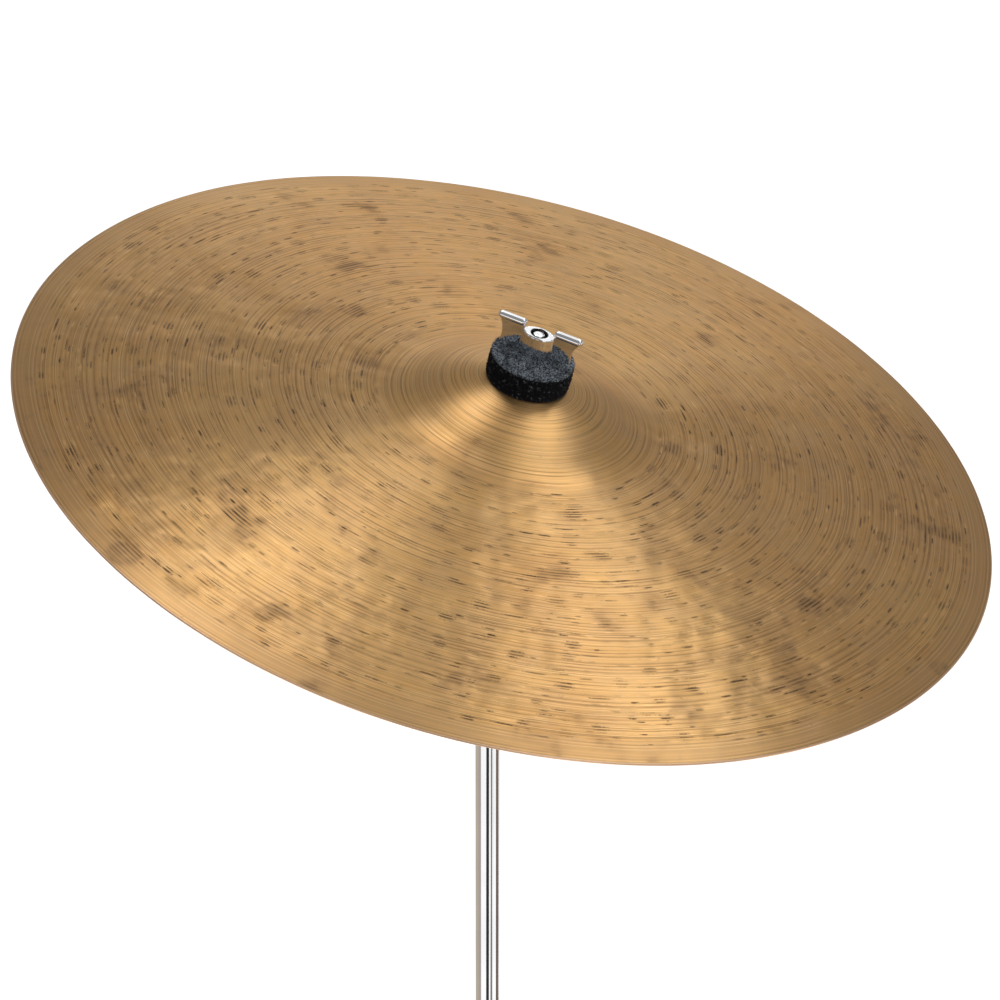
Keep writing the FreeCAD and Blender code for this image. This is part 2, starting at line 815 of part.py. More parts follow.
def brace(azimuth):
    width, thickness = brace_strip
    strips = strip(width, thickness, brace_gap_half, 0, brace_span)
    holes = [
        pivot_hole(0, rivet_radius + pin_clearance),
        pivot_hole(brace_span, rivet_radius + pin_clearance),
    ]
    both = Part.makeCompound([one.cut(holes[0]).cut(holes[1]) for one in strips])
    return brace_place(both, azimuth)


def brace_rivet(azimuth):
    """The rivet that joins a brace to its leg."""
    radius = pivot_radius + brace_span * leg_sine
    height = leg_pivot_height - brace_span * leg_cosine
    half = leg_gap_half + leg_strip[1]
    return rivet(half, azimuth, radius, height)


def hub_rivets(height, half):
    return Part.makeCompound([rivet(half, a, pivot_radius, height) for a in leg_azimuths])


foot_length = 36.0
foot_half_width = 12.5
foot_half_depth = 10.5
foot_beyond_leg = 12.0
foot_rounding = 4.0
spacer_radius = 3.2
spacer_from_pivot = 65.0


def rubber_foot(azimuth):
    """A moulded boot over the end of a leg, flat where it meets the floor."""
    low = -leg_length - foot_beyond_leg
    high = low + foot_length
    boot = block((-foot_half_depth, -foot_half_width, low), (foot_half_depth, foot_half_width, high))
    boot = boot.makeFillet(foot_rounding, boot.Edges)
    boot = leg_place(boot, azimuth).cut(leg(azimuth))
    far = 2 * foot_reach
    above_floor = block((-far, -far, 0), (far, far, far))
    return boot.common(above_floor)


def leg_spacer(azimuth):
    """The cross bolt and tube that keep a leg's two strips apart, clear of the folded brace."""
    level = -spacer_from_pivot
    tube = bar(spacer_radius, Vector(0, -leg_gap_half, level), Vector(0, leg_gap_half, level))
    return leg_place(tube, azimuth)


# ---- build and write ----------------------------------------------------------------------------
def all_nodes():
    base_bush_top = base_tube_top + clamp_above_tube_top + bush_lip
    mid_bush_top = mid_tube_top + clamp_above_tube_top + bush_lip
    lower_lock_low = base_bush_top + lock_gap
    upper_lock_low = mid_bush_top + lock_gap
    nodes = {
        "cymbal": leant(cymbal()),
        "wing_nut": leant(cymbal_wing_nut()),
        "upper_felt": leant(upper_felt()),
        "lower_felt": leant(lower_felt()),
        "cup_washer": leant(cup_washer()),
        "seat_washer": leant(seat_washer()),
        "cymbal_sleeve": leant(cymbal_sleeve()),
        "cymbal_rod": leant(cymbal_rod()),
        "rod_grub_screw": leant(rod_grub_screw()),
        "tilter_head": leant(tilter_head()),
        "tilter_base": tilter_base().cut(tilter_base_pin()),
        "tilter_base_pin": tilter_base_pin(),
        "tilter_disc": tilter_disc(),
        "tilter_bolt": tilter_bolt(),
        "tilter_washer": tilter_washer(),
        "tilter_wing_nut": tilter_wing_nut(),
        "top_tube": top_tube(),
        "top_tube_plug": end_plug(top_tube_radius - 0.2, top_tube_wall, top_tube_bottom),
        "upper_memory_lock": memory_lock(top_tube_radius, upper_lock_low, 0.05),
        "upper_lock_bolt": memory_lock_bolt(top_tube_radius, upper_lock_low),
        "upper_clamp": clamp_body(mid_tube_radius, mid_tube_top),
        "upper_clamp_bush": clamp_bush(
            mid_tube_radius, mid_tube_wall, top_tube_radius, mid_tube_top
        ),
        "upper_clamp_bolt": clamp_bolt(mid_tube_radius, mid_tube_top),
        "upper_clamp_wing_nut": clamp_wing_nut(mid_tube_radius, mid_tube_top, 20),
        "mid_tube": mid_tube(),
        "mid_tube_plug": end_plug(mid_tube_radius - 0.2, mid_tube_wall, mid_tube_bottom),
        "lower_memory_lock": memory_lock(mid_tube_radius, lower_lock_low, 0.0),
        "lower_lock_bolt": memory_lock_bolt(mid_tube_radius, lower_lock_low),
        "lower_clamp": clamp_body(base_tube_radius, base_tube_top),
        "lower_clamp_bush": clamp_bush(
            base_tube_radius, base_tube_wall, mid_tube_radius, base_tube_top
        ),
        "lower_clamp_bolt": clamp_bolt(base_tube_radius, base_tube_top),
        "lower_clamp_wing_nut": clamp_wing_nut(base_tube_radius, base_tube_top, 65),
        "base_tube": base_tube().cut(brace_hub_pin()),
        "base_tube_plug": end_plug(base_tube_radius, base_tube_wall, base_tube_bottom).cut(
            brace_hub_pin()
        ),
        "brace_hub": brace_hub().cut(brace_hub_pin()),
        "brace_hub_pin": brace_hub_pin(),
        "brace_hub_rivets": hub_rivets(brace_pivot_height, brace_gap_half + brace_strip[1]),
        "leg_collar": leg_collar(),
        "leg_collar_rivets": hub_rivets(leg_pivot_height, leg_gap_half + leg_strip[1]),
        "collar_wing_screw": collar_wing_screw(),
    }
    for number, azimuth in enumerate(leg_azimuths, start=1):
        nodes[f"leg_{number}"] = leg(azimuth)
        nodes[f"brace_{number}"] = brace(azimuth)
        nodes[f"brace_rivet_{number}"] = brace_rivet(azimuth)
        nodes[f"leg_spacer_{number}"] = leg_spacer(azimuth)
        nodes[f"rubber_foot_{number}"] = rubber_foot(azimuth)
    return nodes


def main():
    os.makedirs("parts", exist_ok=True)
    for name, shape in all_nodes().items():
        solids = shape.Solids
        good = bool(solids) and all(solid.isValid() for solid in solids)
        print(name, len(solids), round(shape.Volume, 1), "ok" if good else "BAD")
        shape.exportStep(f"parts/{name}.step")


main()
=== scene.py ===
"""Looks of a crash cymbal on its light tilting stand, in metres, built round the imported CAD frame."""

import json
import math
from collections import namedtuple

import bpy
import numpy as np
from mathutils import Matrix, Vector


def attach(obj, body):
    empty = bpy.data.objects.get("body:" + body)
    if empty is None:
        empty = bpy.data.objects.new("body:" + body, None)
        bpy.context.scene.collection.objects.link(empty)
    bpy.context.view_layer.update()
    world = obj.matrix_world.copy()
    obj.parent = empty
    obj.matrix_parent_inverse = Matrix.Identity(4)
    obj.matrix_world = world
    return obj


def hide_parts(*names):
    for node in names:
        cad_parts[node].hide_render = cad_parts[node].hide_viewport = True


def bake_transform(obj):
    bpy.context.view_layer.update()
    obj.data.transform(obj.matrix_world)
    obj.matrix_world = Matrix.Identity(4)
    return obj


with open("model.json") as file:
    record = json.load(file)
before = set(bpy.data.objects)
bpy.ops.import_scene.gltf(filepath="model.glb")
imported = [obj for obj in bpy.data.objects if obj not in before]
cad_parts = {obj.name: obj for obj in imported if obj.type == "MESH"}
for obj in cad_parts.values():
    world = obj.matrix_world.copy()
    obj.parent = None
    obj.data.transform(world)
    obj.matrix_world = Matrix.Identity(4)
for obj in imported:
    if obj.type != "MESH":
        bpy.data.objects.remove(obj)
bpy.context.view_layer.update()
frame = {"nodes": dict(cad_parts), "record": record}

MM = 0.001
SEED = 7

# ---- driving values -----------------------------------------------------------------------------
# The cymbal's section, in "rod space": the tilter's hinge is at height 0 and Z runs up the rod.
CYMBAL_R = 228.6 * MM
HOLE_R = 6.35 * MM
CYMBAL_H = 43.0 * MM
SHEET = 1.0 * MM
BELL_CURVE = 96.0 * MM
BOW_RISE = 27.0 * MM
BELL_FILLET = 42.0 * MM
BELL_TOP = 82.0 * MM
TILT = math.radians(19.0)
HINGE = Vector((0, 0, 905.0 * MM))
ROD = Matrix.Translation(HINGE) @ Matrix.Rotation(TILT, 4, "X")

# The sheet's grid: steps round, over the top, round the rim and over the underside
SHEET_AROUND, SHEET_TOP, SHEET_EDGE, SHEET_UNDER = 1200, 330, 7, 110
EDGE_ROUND = 0.45 * MM
# Its unevenness: height, wave length, number of sines, and whether it dies down at the rim
SHEET_WAVES = (
    (0.10 * MM, 34 * MM, 14, True),
    (0.03 * MM, 13 * MM, 16, True),
    (0.25 * MM, 190 * MM, 6, False),
)
WAVES_START = 30 * MM
RIM_CALM = 20 * MM
LATHE_WAVE, LATHE_WAVE_PITCH = 0.015 * MM, 7.3 * MM

# Hammer marks. Each layer: distance between rings, distance along a ring, half sizes across and
# along the grooves, how dark, and three numbers that scatter the layer's marks.
MARK_START = 64.0 * MM
MarkLayer = namedtuple("MarkLayer", "pitch spacing across along dark scatter")
MARK_LAYERS = (
    MarkLayer(13.0 * MM, 19.0 * MM, 2.7 * MM, 4.4 * MM, 0.85, (3.7, 5.1, 0.0)),
    MarkLayer(8.3 * MM, 11.0 * MM, 1.1 * MM, 3.0 * MM, 1.0, (2.3, 4.7, 1.3)),
    MarkLayer(6.1 * MM, 21.0 * MM, 0.8 * MM, 5.4 * MM, 0.95, (1.9, 5.6, 2.1)),
)
# Painted highlights: bright warm streaks beside the hammer marks, placed like one more mark layer
PAINTED_GLINTS = MarkLayer(8.1 * MM, 14.0 * MM, 0.6 * MM, 3.4 * MM, 1.0, (2.9, 4.3, 0.7))
# What a mark draws by chance: factors on the first two scatter numbers, what is added to the third
DRAWS = {
    "across": (1.0, 1.0, 0.0),
    "along": (0.5, 0.45, 1.0),
    "size": (0.7, 0.85, 2.0),
    "dark": (1.3, 1.7, 3.0),
}
RING_TURN = 0.618
SHOVE_ACROSS, SHOVE_ALONG = 0.30, 0.24
SIZE_SPREAD, SIZE_MIDDLE = 0.36, 0.76
DARK_SPREAD, DARK_MIDDLE = 0.50, 0.66
PIT_DEPTH, PIT_WIDER = 0.07 * MM, 1.5

# Lathe work and tarnish
GROOVE_PITCH = 1.9 * MM
RIB_PITCH = 1.75 * MM
RIM_BAND = 12.0 * MM
GROOVE_BUMP = 0.05 * MM
# The bronze's noises: scale, detail, roughness
NOISES = {
    "wander": (14.0, 2.0),
    "worn": (38.0, 3.0),
    "ragged": (900.0, 2.0),
    "crowd": (24.0, 2.0),
    "clouds": (9.0, 4.0, 0.55),
    "patches": (34.0, 3.0, 0.55),
    "specks": (420.0, 2.0, 0.6),
    "warm": (60.0, 3.0, 0.6),
}
BRONZE_LIGHT, BRONZE_DEEP = (0.82, 0.485, 0.185, 1), (0.74, 0.415, 0.155, 1)
# What lies over the bronze, from the bottom up: how strongly, and its colour. Some are painted light:
# highlights on the groove ridges, glints beside the marks and the outer edge, and shade in the grooves.
TONES = {
    "warm": (0.30, (0.64, 0.40, 0.21, 1)),
    "rings": (0.20, (0.55, 0.32, 0.15, 1)),
    "ridge_highlight": (0.50, (0.95, 0.67, 0.33, 1)),
    "groove_shade": (0.58, (0.34, 0.18, 0.075, 1)),
    "haze": (0.32, (0.42, 0.24, 0.12, 1)),
    "blotch": (0.75, (0.13, 0.085, 0.05, 1)),
    "specks": (0.30, (0.25, 0.13, 0.06, 1)),
    "painted_glint": (0.55, (0.98, 0.62, 0.27, 1)),
    "mark": (0.86, (0.105, 0.068, 0.045, 1)),
    "rim": (0.22, (0.62, 0.39, 0.20, 1)),
    "edge": (1.0, (0.86, 0.57, 0.36, 1)),
}

# Plating. The stand's is duller than that of the two brightest nodes and the rod.
PLATING, STAND_PLATING = (0.86, 0.87, 0.885, 1), (0.60, 0.605, 0.62, 1)
SCRATCH_BUMP = 0.0006 * MM
BRIGHTEST = ("wing_nut", "top_tube")
# Heights on the rod between which its thread is painted dark: painted shade where the thread sits in
# the nut's hole, below the tip
THREAD_SHADE = (86.0 * MM, 104.75 * MM)
# Colour of the painted shade in the thread
THREAD_SHADE_TONE = (0.015, 0.012, 0.010, 1)
ZINC = (0.52, 0.52, 0.53, 1)
SOFTENED_EDGE = 0.25 * MM
WELD_GAP = 0.01 * MM
SOFTEN_OVER = math.radians(32)

# Felts
Felt = namedtuple("Felt", "radius low high mouth")
UPPER_FELT = Felt(19.0 * MM, 78.4 * MM, 92.5 * MM, 4.9 * MM)
LOWER_FELT = Felt(17.9 * MM, 69.65 * MM, 81.0 * MM, 5.9 * MM)
FELT_BORE = 5.9 * MM
FELT_EDGE = 0.7 * MM
FELT_GAP = 0.12 * MM
FELT_BULGE = 0.25 * MM
NUT_HUB_R = 5.5 * MM
FELT_SWELL = 1.6 * MM
FELT_LIFT = 0.35 * MM
FELT_LIFT_TOWARDS = math.radians(-48)
# A felt's grid: steps round, over the top, the rounded edges, the side, the underside and the bore
FELT_AROUND, FELT_TOP, FELT_BEND, FELT_SIDE, FELT_UNDER, FELT_WALL = 520, 60, 5, 56, 16, 8
# Unevenness of the top, tufts and tangle: height, wave length, number of sines. Then the grain.
FELT_ROLL = (0.30 * MM, 9 * MM, 6)
FELT_TUFTS = (0.13 * MM, 2.0 * MM, 14)
FELT_TANGLE = (0.15 * MM, 0.9 * MM, 16)
FELT_GRAIN = 0.10 * MM
TOP_FUZZ = 1.1
WOOL_DARK, WOOL_LIGHT = (0.004, 0.004, 0.005, 1), (0.41, 0.46, 0.52, 1)
FIBRE_SEED = SEED + 40
FIBRE_LENGTH = 1.3 * MM
FIBRE_HALF_WIDTH = (0.02 * MM, 0.045 * MM)
FIBRE_STEPS, FIBRE_TAPER = 4, 0.7

# Light: name, azimuth from +Y towards +X, elevation, distance, size and radiance of each softbox
SURROUND = 0.27
LAMPS = (
    ("overhead", 30.0, 79.5, 1.9, (0.62, 0.62), 3.4),
    ("right_high", 98.0, 59.2, 2.0, (0.54, 0.54), 3.2),
    ("behind", 52.0, 29.0, 2.6, (1.25, 1.05), 0.66),
    ("right_wide", 175.0, 46.0, 2.0, (1.5, 1.5), 0.85),
)
# One more softbox, which lights only these nodes
NUT_SHEEN = ("nut_sheen", 55.0, 70.0, 1.9, (3.0, 2.6), 0.78)
SHEEN_ON = ("wing_nut", "cymbal_rod")
# Cards for the plating to mirror: where each starts and ends round the pole, and its tone
CARD_REACH = 1.2
CARD_FOOT, CARD_HEAD = 0.03, 0.80
CARDS = (
    (-8.0, -47.0, (0.52, 0.44, 0.34)),
    (-47.0, -71.0, (0.44, 0.38, 0.35)),
    (-119.0, -146.0, (0.03, 0.022, 0.018)),
    (-162.0, -194.0, (0.24, 0.21, 0.20)),
    (-213.0, -236.0, (0.17, 0.11, 0.08)),
    (-236.0, -258.0, (0.42, 0.37, 0.34)),
)
FLOOR_HALF, FLOOR_DROP, FLOOR_GLOW = 30, 0.0005, 0.85

# Camera
CAMERA_AZIMUTH = -43.57
CAMERA_ELEVATION = 19.18
CAMERA_DISTANCE = 3.0047
CAMERA_LENS = 237.7
SENSOR = 36.0
PIVOT_OF_VIEW = Vector((0, 0, 0.960))
MIDDLE = Vector((0, -0.02, 0.96))
AIM_RIGHT = 0.0059
AIM_DOWN = 0.0414


def darker(colour, share):
    return tuple(share * c for c in colour[:3]) + (1,)


# ---- materials ----------------------------------------------------------------------------------
class Shader:
    """A material with one Principled node, and short names for the nodes that drive it."""

    def __init__(self, name, **values):
        self.material = bpy.data.materials.new(name)
        self.material.use_nodes = True
        self.tree = self.material.node_tree
        self.body = self.tree.nodes["Principled BSDF"]
        for socket, value in values.items():
            self.put(socket.replace("_", " "), value)

    def node(self, kind, **inputs):
        """A node; an input is a socket, a number or a tuple, and a leading 'set_' names a property."""
        made = self.tree.nodes.new(kind)
        for key, value in inputs.items():
            if key.startswith("set_"):
                setattr(made, key[4:], value)
        for key, value in inputs.items():
            if not key.startswith("set_"):
                self.feed(made.inputs[int(key[1:]) if key[1:].isdigit() else key], value)
        return made

    def feed(self, socket, value):
        if isinstance(value, bpy.types.NodeSocket):
            self.tree.links.new(value, socket)
        else:
            socket.default_value = value

    def put(self, name, value):
        self.feed(self.body.inputs[name], value)

    def math(self, operation, *values):
        made = self.node("ShaderNodeMath", set_operation=operation)
        for socket, value in zip(made.inputs, values):
            self.feed(socket, value)
        return made.outputs[0]

    def band(self, value, low, high, out_low=0.0, out_high=1.0):
        """Smoothly maps low..high to out_low..out_high."""
        made = self.node("ShaderNodeMapRange", set_interpolation_type="SMOOTHSTEP")
        for name, number in zip(
            ("Value", "From Min", "From Max", "To Min", "To Max"),
            (value, low, high, out_low, out_high),
        ):
            self.feed(made.inputs[name], number)
        return made.outputs["Result"]

    def mix(self, share, first, second):
        made = self.node("ShaderNodeMix", set_data_type="RGBA", _0=share, _6=first, _7=second)
        return made.outputs[2]

    def here(self):
        return self.node("ShaderNodeTexCoord").outputs["Object"]

    def noise(self, scale, detail=2.0, roughness=0.5, vector=None, w=None):
        """Noise over the object's own coordinates, over a given vector, or along one number w."""
        made = self.node("ShaderNodeTexNoise", Scale=scale, Detail=detail, Roughness=roughness)
        if w is not None:
            made.noise_dimensions = "1D"
            self.feed(made.inputs["W"], w)
        else:
            self.feed(made.inputs["Vector"], vector if vector is not None else self.here())
        return made.outputs[0]

    def bump(self, height, distance, strength=1.0, below=None):
        made = self.node("ShaderNodeBump", Strength=strength, Distance=distance, Height=height)
        if below is not None:
            self.feed(made.inputs["Normal"], below)
        return made.outputs[0]


def mark_nodes(s, layer, radius, turn):
    """One mark in each cell of a ring, pushed about a little: distance from it, and its darkness."""
    pitch, spacing = layer.pitch, layer.spacing
    ring = s.math("FLOOR", s.math("DIVIDE", s.math("SUBTRACT", radius, MARK_START), pitch))
    ring_r = s.math("MULTIPLY_ADD", ring, pitch, MARK_START + pitch / 2)
    count = s.math("FLOOR", s.math("MULTIPLY", ring_r, 2 * math.pi / spacing))
    around = s.math("FRACT", s.math("MULTIPLY_ADD", ring, RING_TURN, s.math("ADD", turn, 0.5)))
    place = s.math("MULTIPLY", around, count)
    cell = s.math("FLOOR", place)

    def chance(draw):
        """A number from -1 to 1 that is this mark's own."""
        by_ring, by_cell, start = layer.scatter
        ring_share, cell_share, step = DRAWS[draw]
        inner = s.math("MULTIPLY_ADD", ring, by_ring * ring_share, start + step)
        return s.math("SINE", s.math("MULTIPLY_ADD", cell, by_cell * cell_share, inner))

    off_r = s.math("SUBTRACT", radius, ring_r)
    off_r = s.math("MULTIPLY_ADD", chance("across"), -SHOVE_ACROSS * pitch, off_r)
    off_t = s.math("SUBTRACT", s.math("SUBTRACT", place, cell), 0.5)
    off_t = s.math("MULTIPLY", off_t, spacing)
    off_t = s.math("MULTIPLY_ADD", chance("along"), -SHOVE_ALONG * spacing, off_t)
    size = s.math("MULTIPLY_ADD", chance("size"), SIZE_SPREAD, SIZE_MIDDLE)
    across = s.math("DIVIDE", off_r, s.math("MULTIPLY", size, layer.across))
    along = s.math("DIVIDE", off_t, s.math("MULTIPLY", size, layer.along))
    reach = s.math("MULTIPLY", across, across)
    reach = s.math("SQRT", s.math("MULTIPLY_ADD", along, along, reach))
    dark = s.math("MULTIPLY_ADD", chance("dark"), DARK_SPREAD, DARK_MIDDLE)
    return reach, s.math("MULTIPLY", dark, layer.dark)


def bronze():
    """Lathed, hammered and slightly tarnished bronze, drawn in the cymbal's own polar coordinates, with
    painted highlights and shade on its grooves, marks and edge.
    """
    s = Shader("bronze", Metallic=1.0, Anisotropic=0.80, Anisotropic_Rotation=0.25)
    noise = {name: s.noise(*numbers) for name, numbers in NOISES.items()}
    split = s.node("ShaderNodeSeparateXYZ", Vector=s.here())
    x, y = split.outputs[0], split.outputs[1]
    radius = s.math("SQRT", s.math("ADD", s.math("MULTIPLY", x, x), s.math("MULTIPLY", y, y)))
    turn = s.math("DIVIDE", s.math("ARCTAN2", y, x), 2 * math.pi)
    wander = s.math("MULTIPLY_ADD", noise["wander"], 2.0 * MM, radius)
    band_start = CYMBAL_R - RIM_BAND

    # lathe grooves: irregular rings that wander a little
    coarse = s.noise(0.8 / GROOVE_PITCH, 1.0, 0.4, w=wander)
    fine = s.noise(3.4 / GROOVE_PITCH, 2.0, 0.6, w=wander)
    broad = s.noise(0.13 / GROOVE_PITCH, 1.0, 0.5, w=radius)
    turns = s.math("MULTIPLY_ADD", coarse, 5.0, s.math("MULTIPLY", wander, 2 * math.pi / GROOVE_PITCH))
    swell = s.band(s.noise(0.37 / GROOVE_PITCH, 1.0, 0.5, w=wander), 0.35, 0.65, 0.05, 0.26)
    grooves = s.math("MULTIPLY_ADD", s.math("SINE", turns), swell, s.math("MULTIPLY", coarse, 0.6))
    grooves = s.math("MULTIPLY_ADD", fine, 0.6, grooves)
    # patches where the painted shade in the grooves is weaker
    worn = s.band(noise["worn"], 0.35, 0.65, 0.35, 1.0)
    on_bow = s.band(radius, band_start - 1 * MM, band_start + 1 * MM, 1.0, 0.5)

    # hammer marks: ovals with a torn outline, cut into streaks by the grooves
    ragged = s.math("MULTIPLY_ADD", noise["ragged"], 1.5, -0.75)
    on_sheet = s.math(
        "MULTIPLY",
        s.band(radius, MARK_START, MARK_START + 2 * MM),
        s.band(radius, band_start, band_start + 3 * MM, 1.0, 0.0),
    )
    ribs = s.math("MULTIPLY_ADD", coarse, 3.0, s.math("MULTIPLY", wander, 2 * math.pi / RIB_PITCH))
    streaks = s.band(s.math("SINE", ribs), -0.25, 0.55, 0.12, 1.0)
    mark = 0.0
    for layer in MARK_LAYERS:
        reach, dark = mark_nodes(s, layer, radius, turn)
        shape = s.band(s.math("ADD", reach, ragged), 0.35, 1.25, 1.0, 0.0)
        mark = s.math("MAXIMUM", mark, s.math("MULTIPLY", shape, dark))
    crowd = s.band(noise["crowd"], 0.36, 0.60, 0.60, 1.0)
    mark = s.math("MULTIPLY", s.math("MULTIPLY", mark, on_sheet), s.math("MULTIPLY", streaks, crowd))
    # painted highlights: bright streaks beside the marks
    reach, painted_glint = mark_nodes(s, PAINTED_GLINTS, radius, turn)
    painted_glint = s.math("MULTIPLY", s.math("MULTIPLY", painted_glint, on_sheet), s.band(reach, 0.3, 1.4, 1.0, 0.0))

    # colour: each tone of TONES in turn, over the bronze itself
    haze = s.band(noise["patches"], 0.54, 0.72)
    shares = {
        "warm": s.band(noise["warm"], 0.40, 0.62),
        "rings": s.band(broad, 0.35, 0.65),
        # painted highlight on the grooves' ridges, and painted shade in the grooves
        "ridge_highlight": s.band(fine, 0.50, 0.66),
        "groove_shade": s.math("MULTIPLY", s.band(grooves, 0.60, 0.38), worn),
        "haze": haze,
        "blotch": s.math("MULTIPLY", s.band(noise["patches"], 0.62, 0.74), streaks),
        "specks": s.band(noise["specks"], 0.68, 0.78),
        "painted_glint": painted_glint,
        "mark": mark,
        "rim": s.band(radius, band_start - 0.6 * MM, band_start + 0.6 * MM),
        # painted highlight: a bright line along the rim's outer edge
        "edge": s.band(radius, CYMBAL_R - 0.9 * MM, CYMBAL_R - 0.5 * MM),
    }
    colour = s.mix(s.band(noise["clouds"], 0.35, 0.65), BRONZE_LIGHT, BRONZE_DEEP)
    for name, (strength, tone) in TONES.items():
        colour = s.mix(s.math("MULTIPLY", shares[name], strength), colour, tone)
    s.put("Base Color", colour)

    rough = s.math("MULTIPLY_ADD", noise["clouds"], 0.16, 0.30)
    rough = s.math("MULTIPLY_ADD", mark, 0.12, rough)
    s.put("Roughness", s.math("MULTIPLY_ADD", haze, 0.06, rough))
    tangent = s.node("ShaderNodeTangent", set_direction_type="RADIAL", set_axis="Z")
    s.put("Tangent", tangent.outputs[0])
    height = s.math("MULTIPLY_ADD", mark, -0.4, s.math("MULTIPLY", grooves, on_bow))
    s.put("Normal", s.bump(height, GROOVE_BUMP))
    return s.material


def height_on_rod(s):
    """How high a point is up the cymbal's rod, for a piece that is kept in the row frame."""
    up_rod = (0, -math.sin(TILT), math.cos(TILT))
    along = s.node("ShaderNodeVectorMath", set_operation="DOT_PRODUCT", _0=s.here(), _1=up_rod)
    return s.math("SUBTRACT", along.outputs["Value"], HINGE.dot(Vector(up_rod)))


def chrome(name, rough=0.05, tint=PLATING, shade_band=None):
    """Bright plating with faint haze, fingerprints and hairline scratches, and optionally a height band
    painted dark as shade.
    """
    s = Shader(name, Metallic=1.0)
    haze = s.noise(38.0, 4.0, 0.6)
    stretched = s.node("ShaderNodeMapping", Vector=s.here(), Scale=(2600.0, 2600.0, 40.0))
    hair = s.noise(1.0, 2.0, 0.7, vector=stretched.outputs[0])
    colour = s.mix(s.band(haze, 0.3, 0.8), tint, darker(tint, 0.9))
    # painted shade: the thread darkened between two heights, where it sits in the nut's hole
    if shade_band:
        low, high = shade_band
        rise = height_on_rod(s)
        above = s.band(rise, low, low + 0.1 * MM)
        below = s.band(rise, high, high + 0.1 * MM, 1.0, 0.0)
        colour = s.mix(s.math("MULTIPLY", above, below), colour, THREAD_SHADE_TONE)
    s.put("Base Color", colour)
    s.put("Roughness", s.math("MULTIPLY_ADD", haze, rough, rough * 0.5))
    s.put("Normal", s.bump(hair, SCRATCH_BUMP, 0.6))
    return s.material


def steel(name):
    """Zinc-plated or raw steel: greyer and rougher than the plating, lightly marked."""
    s = Shader(name, Metallic=1.0)
    grain = s.noise(700.0, 3.0, 0.6)
    worn = s.noise(60.0, 3.0, 0.6)
    s.put("Base Color", s.mix(s.band(worn, 0.35, 0.7), ZINC, darker(ZINC, 0.75)))
    s.put("Roughness", s.math("MULTIPLY_ADD", worn, 0.25, 0.18))
    s.put("Normal", s.bump(grain, 0.03 * MM, 0.5))
    return s.material


def moulded(name, dark, light, rough, grain_scale=900.0, grain_depth=0.05):
    """Moulded plastic or rubber: fine grain, scuffs a little lighter than the rest."""
    s = Shader(name)
    grain = s.noise(grain_scale, 3.0, 0.6)
    scuff = s.band(s.noise(90.0, 4.0, 0.65), 0.50, 0.78)
    s.put("Base Color", s.mix(scuff, dark, light))
    s.put("Roughness", s.math("MULTIPLY_ADD", scuff, 0.15, rough))
    s.put("Normal", s.bump(grain, grain_depth * MM, 0.7))
    return s.material


def felt_material(name, dark, light):
    """Pressed black wool: near black where it is pressed, mottled grey where its top is teased."""
    s = Shader(name, Sheen_Weight=0.03, Sheen_Roughness=0.5, Specular_IOR_Level=0.08, Roughness=0.95)
    high = s.band(height_on_rod(s), UPPER_FELT.high - 1.0 * MM, UPPER_FELT.high - 0.1 * MM)
    hairs = s.node(
        "ShaderNodeMapping", Vector=s.here(), Rotation=(0.6, 0.2, 0.9), Scale=(700, 2600, 1600)
    )
    strands = s.noise(1.0, 3.0, 0.65, vector=hairs.outputs[0])
    tangle = s.noise(1500.0, 3.0, 0.7)
    tufts = s.noise(230.0, 4.0, 0.6)
    bright = s.band(s.math("MULTIPLY_ADD", strands, 0.6, s.math("MULTIPLY", tangle, 0.4)), 0.44, 0.58)
    dusty = s.math("MULTIPLY", s.band(tufts, 0.34, 0.60, 0.35, 1.0), high)
    grey = s.mix(bright, darker(light, 0.07), light)
    stray = s.math("MULTIPLY", bright, s.band(s.noise(650.0, 2.0), 0.55, 0.70, 0.01, 0.28))
    s.put("Base Color", s.mix(dusty, s.mix(stray, dark, light), grey))
    s.put("Normal", s.bump(tangle, 0.25 * MM, 0.9, s.bump(tufts, 0.5 * MM, 0.7)))
    return s.material


def floor_material():
    s = Shader(
        "studio_floor", Roughness=0.9, Emission_Color=(1, 1, 1, 1), Emission_Strength=FLOOR_GLOW
    )
    s.put("Base Color", s.mix(s.noise(0.8), (0.93, 0.93, 0.93, 1), (0.96, 0.96, 0.96, 1)))
    return s.material


# ---- meshes -------------------------------------------------------------------------------------
def mesh_from(points, quads, name):
    mesh = bpy.data.meshes.new(name)
    mesh.vertices.add(len(points))
    mesh.vertices.foreach_set("co", np.asarray(points, np.float32).ravel())
    mesh.loops.add(quads.size)
    mesh.loops.foreach_set("vertex_index", quads.astype(np.int32).ravel())
    mesh.polygons.add(len(quads))
    sides = quads.shape[1]
    mesh.polygons.foreach_set("loop_start", np.arange(len(quads), dtype=np.int32) * sides)
    mesh.polygons.foreach_set("use_smooth", np.ones(len(quads), bool))
    mesh.update(calc_edges=True)
    mesh.validate()
    made = bpy.data.objects.new(name, mesh)
    bpy.context.collection.objects.link(made)
    return made


def ring_mesh(grid, name):
    """A closed mesh from a grid of points that joins up both ways round."""
    rows, columns = grid.shape[:2]
    index = np.arange(rows * columns).reshape(rows, columns)
    right = np.roll(index, -1, axis=1)
    quads = np.stack([index, np.roll(index, -1, axis=0), np.roll(right, -1, axis=0), right], -1)
    return mesh_from(grid.reshape(-1, 3), quads.reshape(-1, 4), name)


def waves(x, y, length, count, rng):
    """A smooth random surface from a few sines, about -1 to 1."""
    total = np.zeros_like(x)
    for _ in range(count):
        way = rng.uniform(0, 2 * math.pi)
        pace = 2 * math.pi / (length * rng.uniform(0.7, 1.4))
        total += np.sin(pace * (x * math.cos(way) + y * math.sin(way)) + rng.uniform(0, 6.28))
    return total / math.sqrt(count)


def smooth_step(value):
    value = np.clip(value, 0, 1)
    return value * value * (3 - 2 * value)


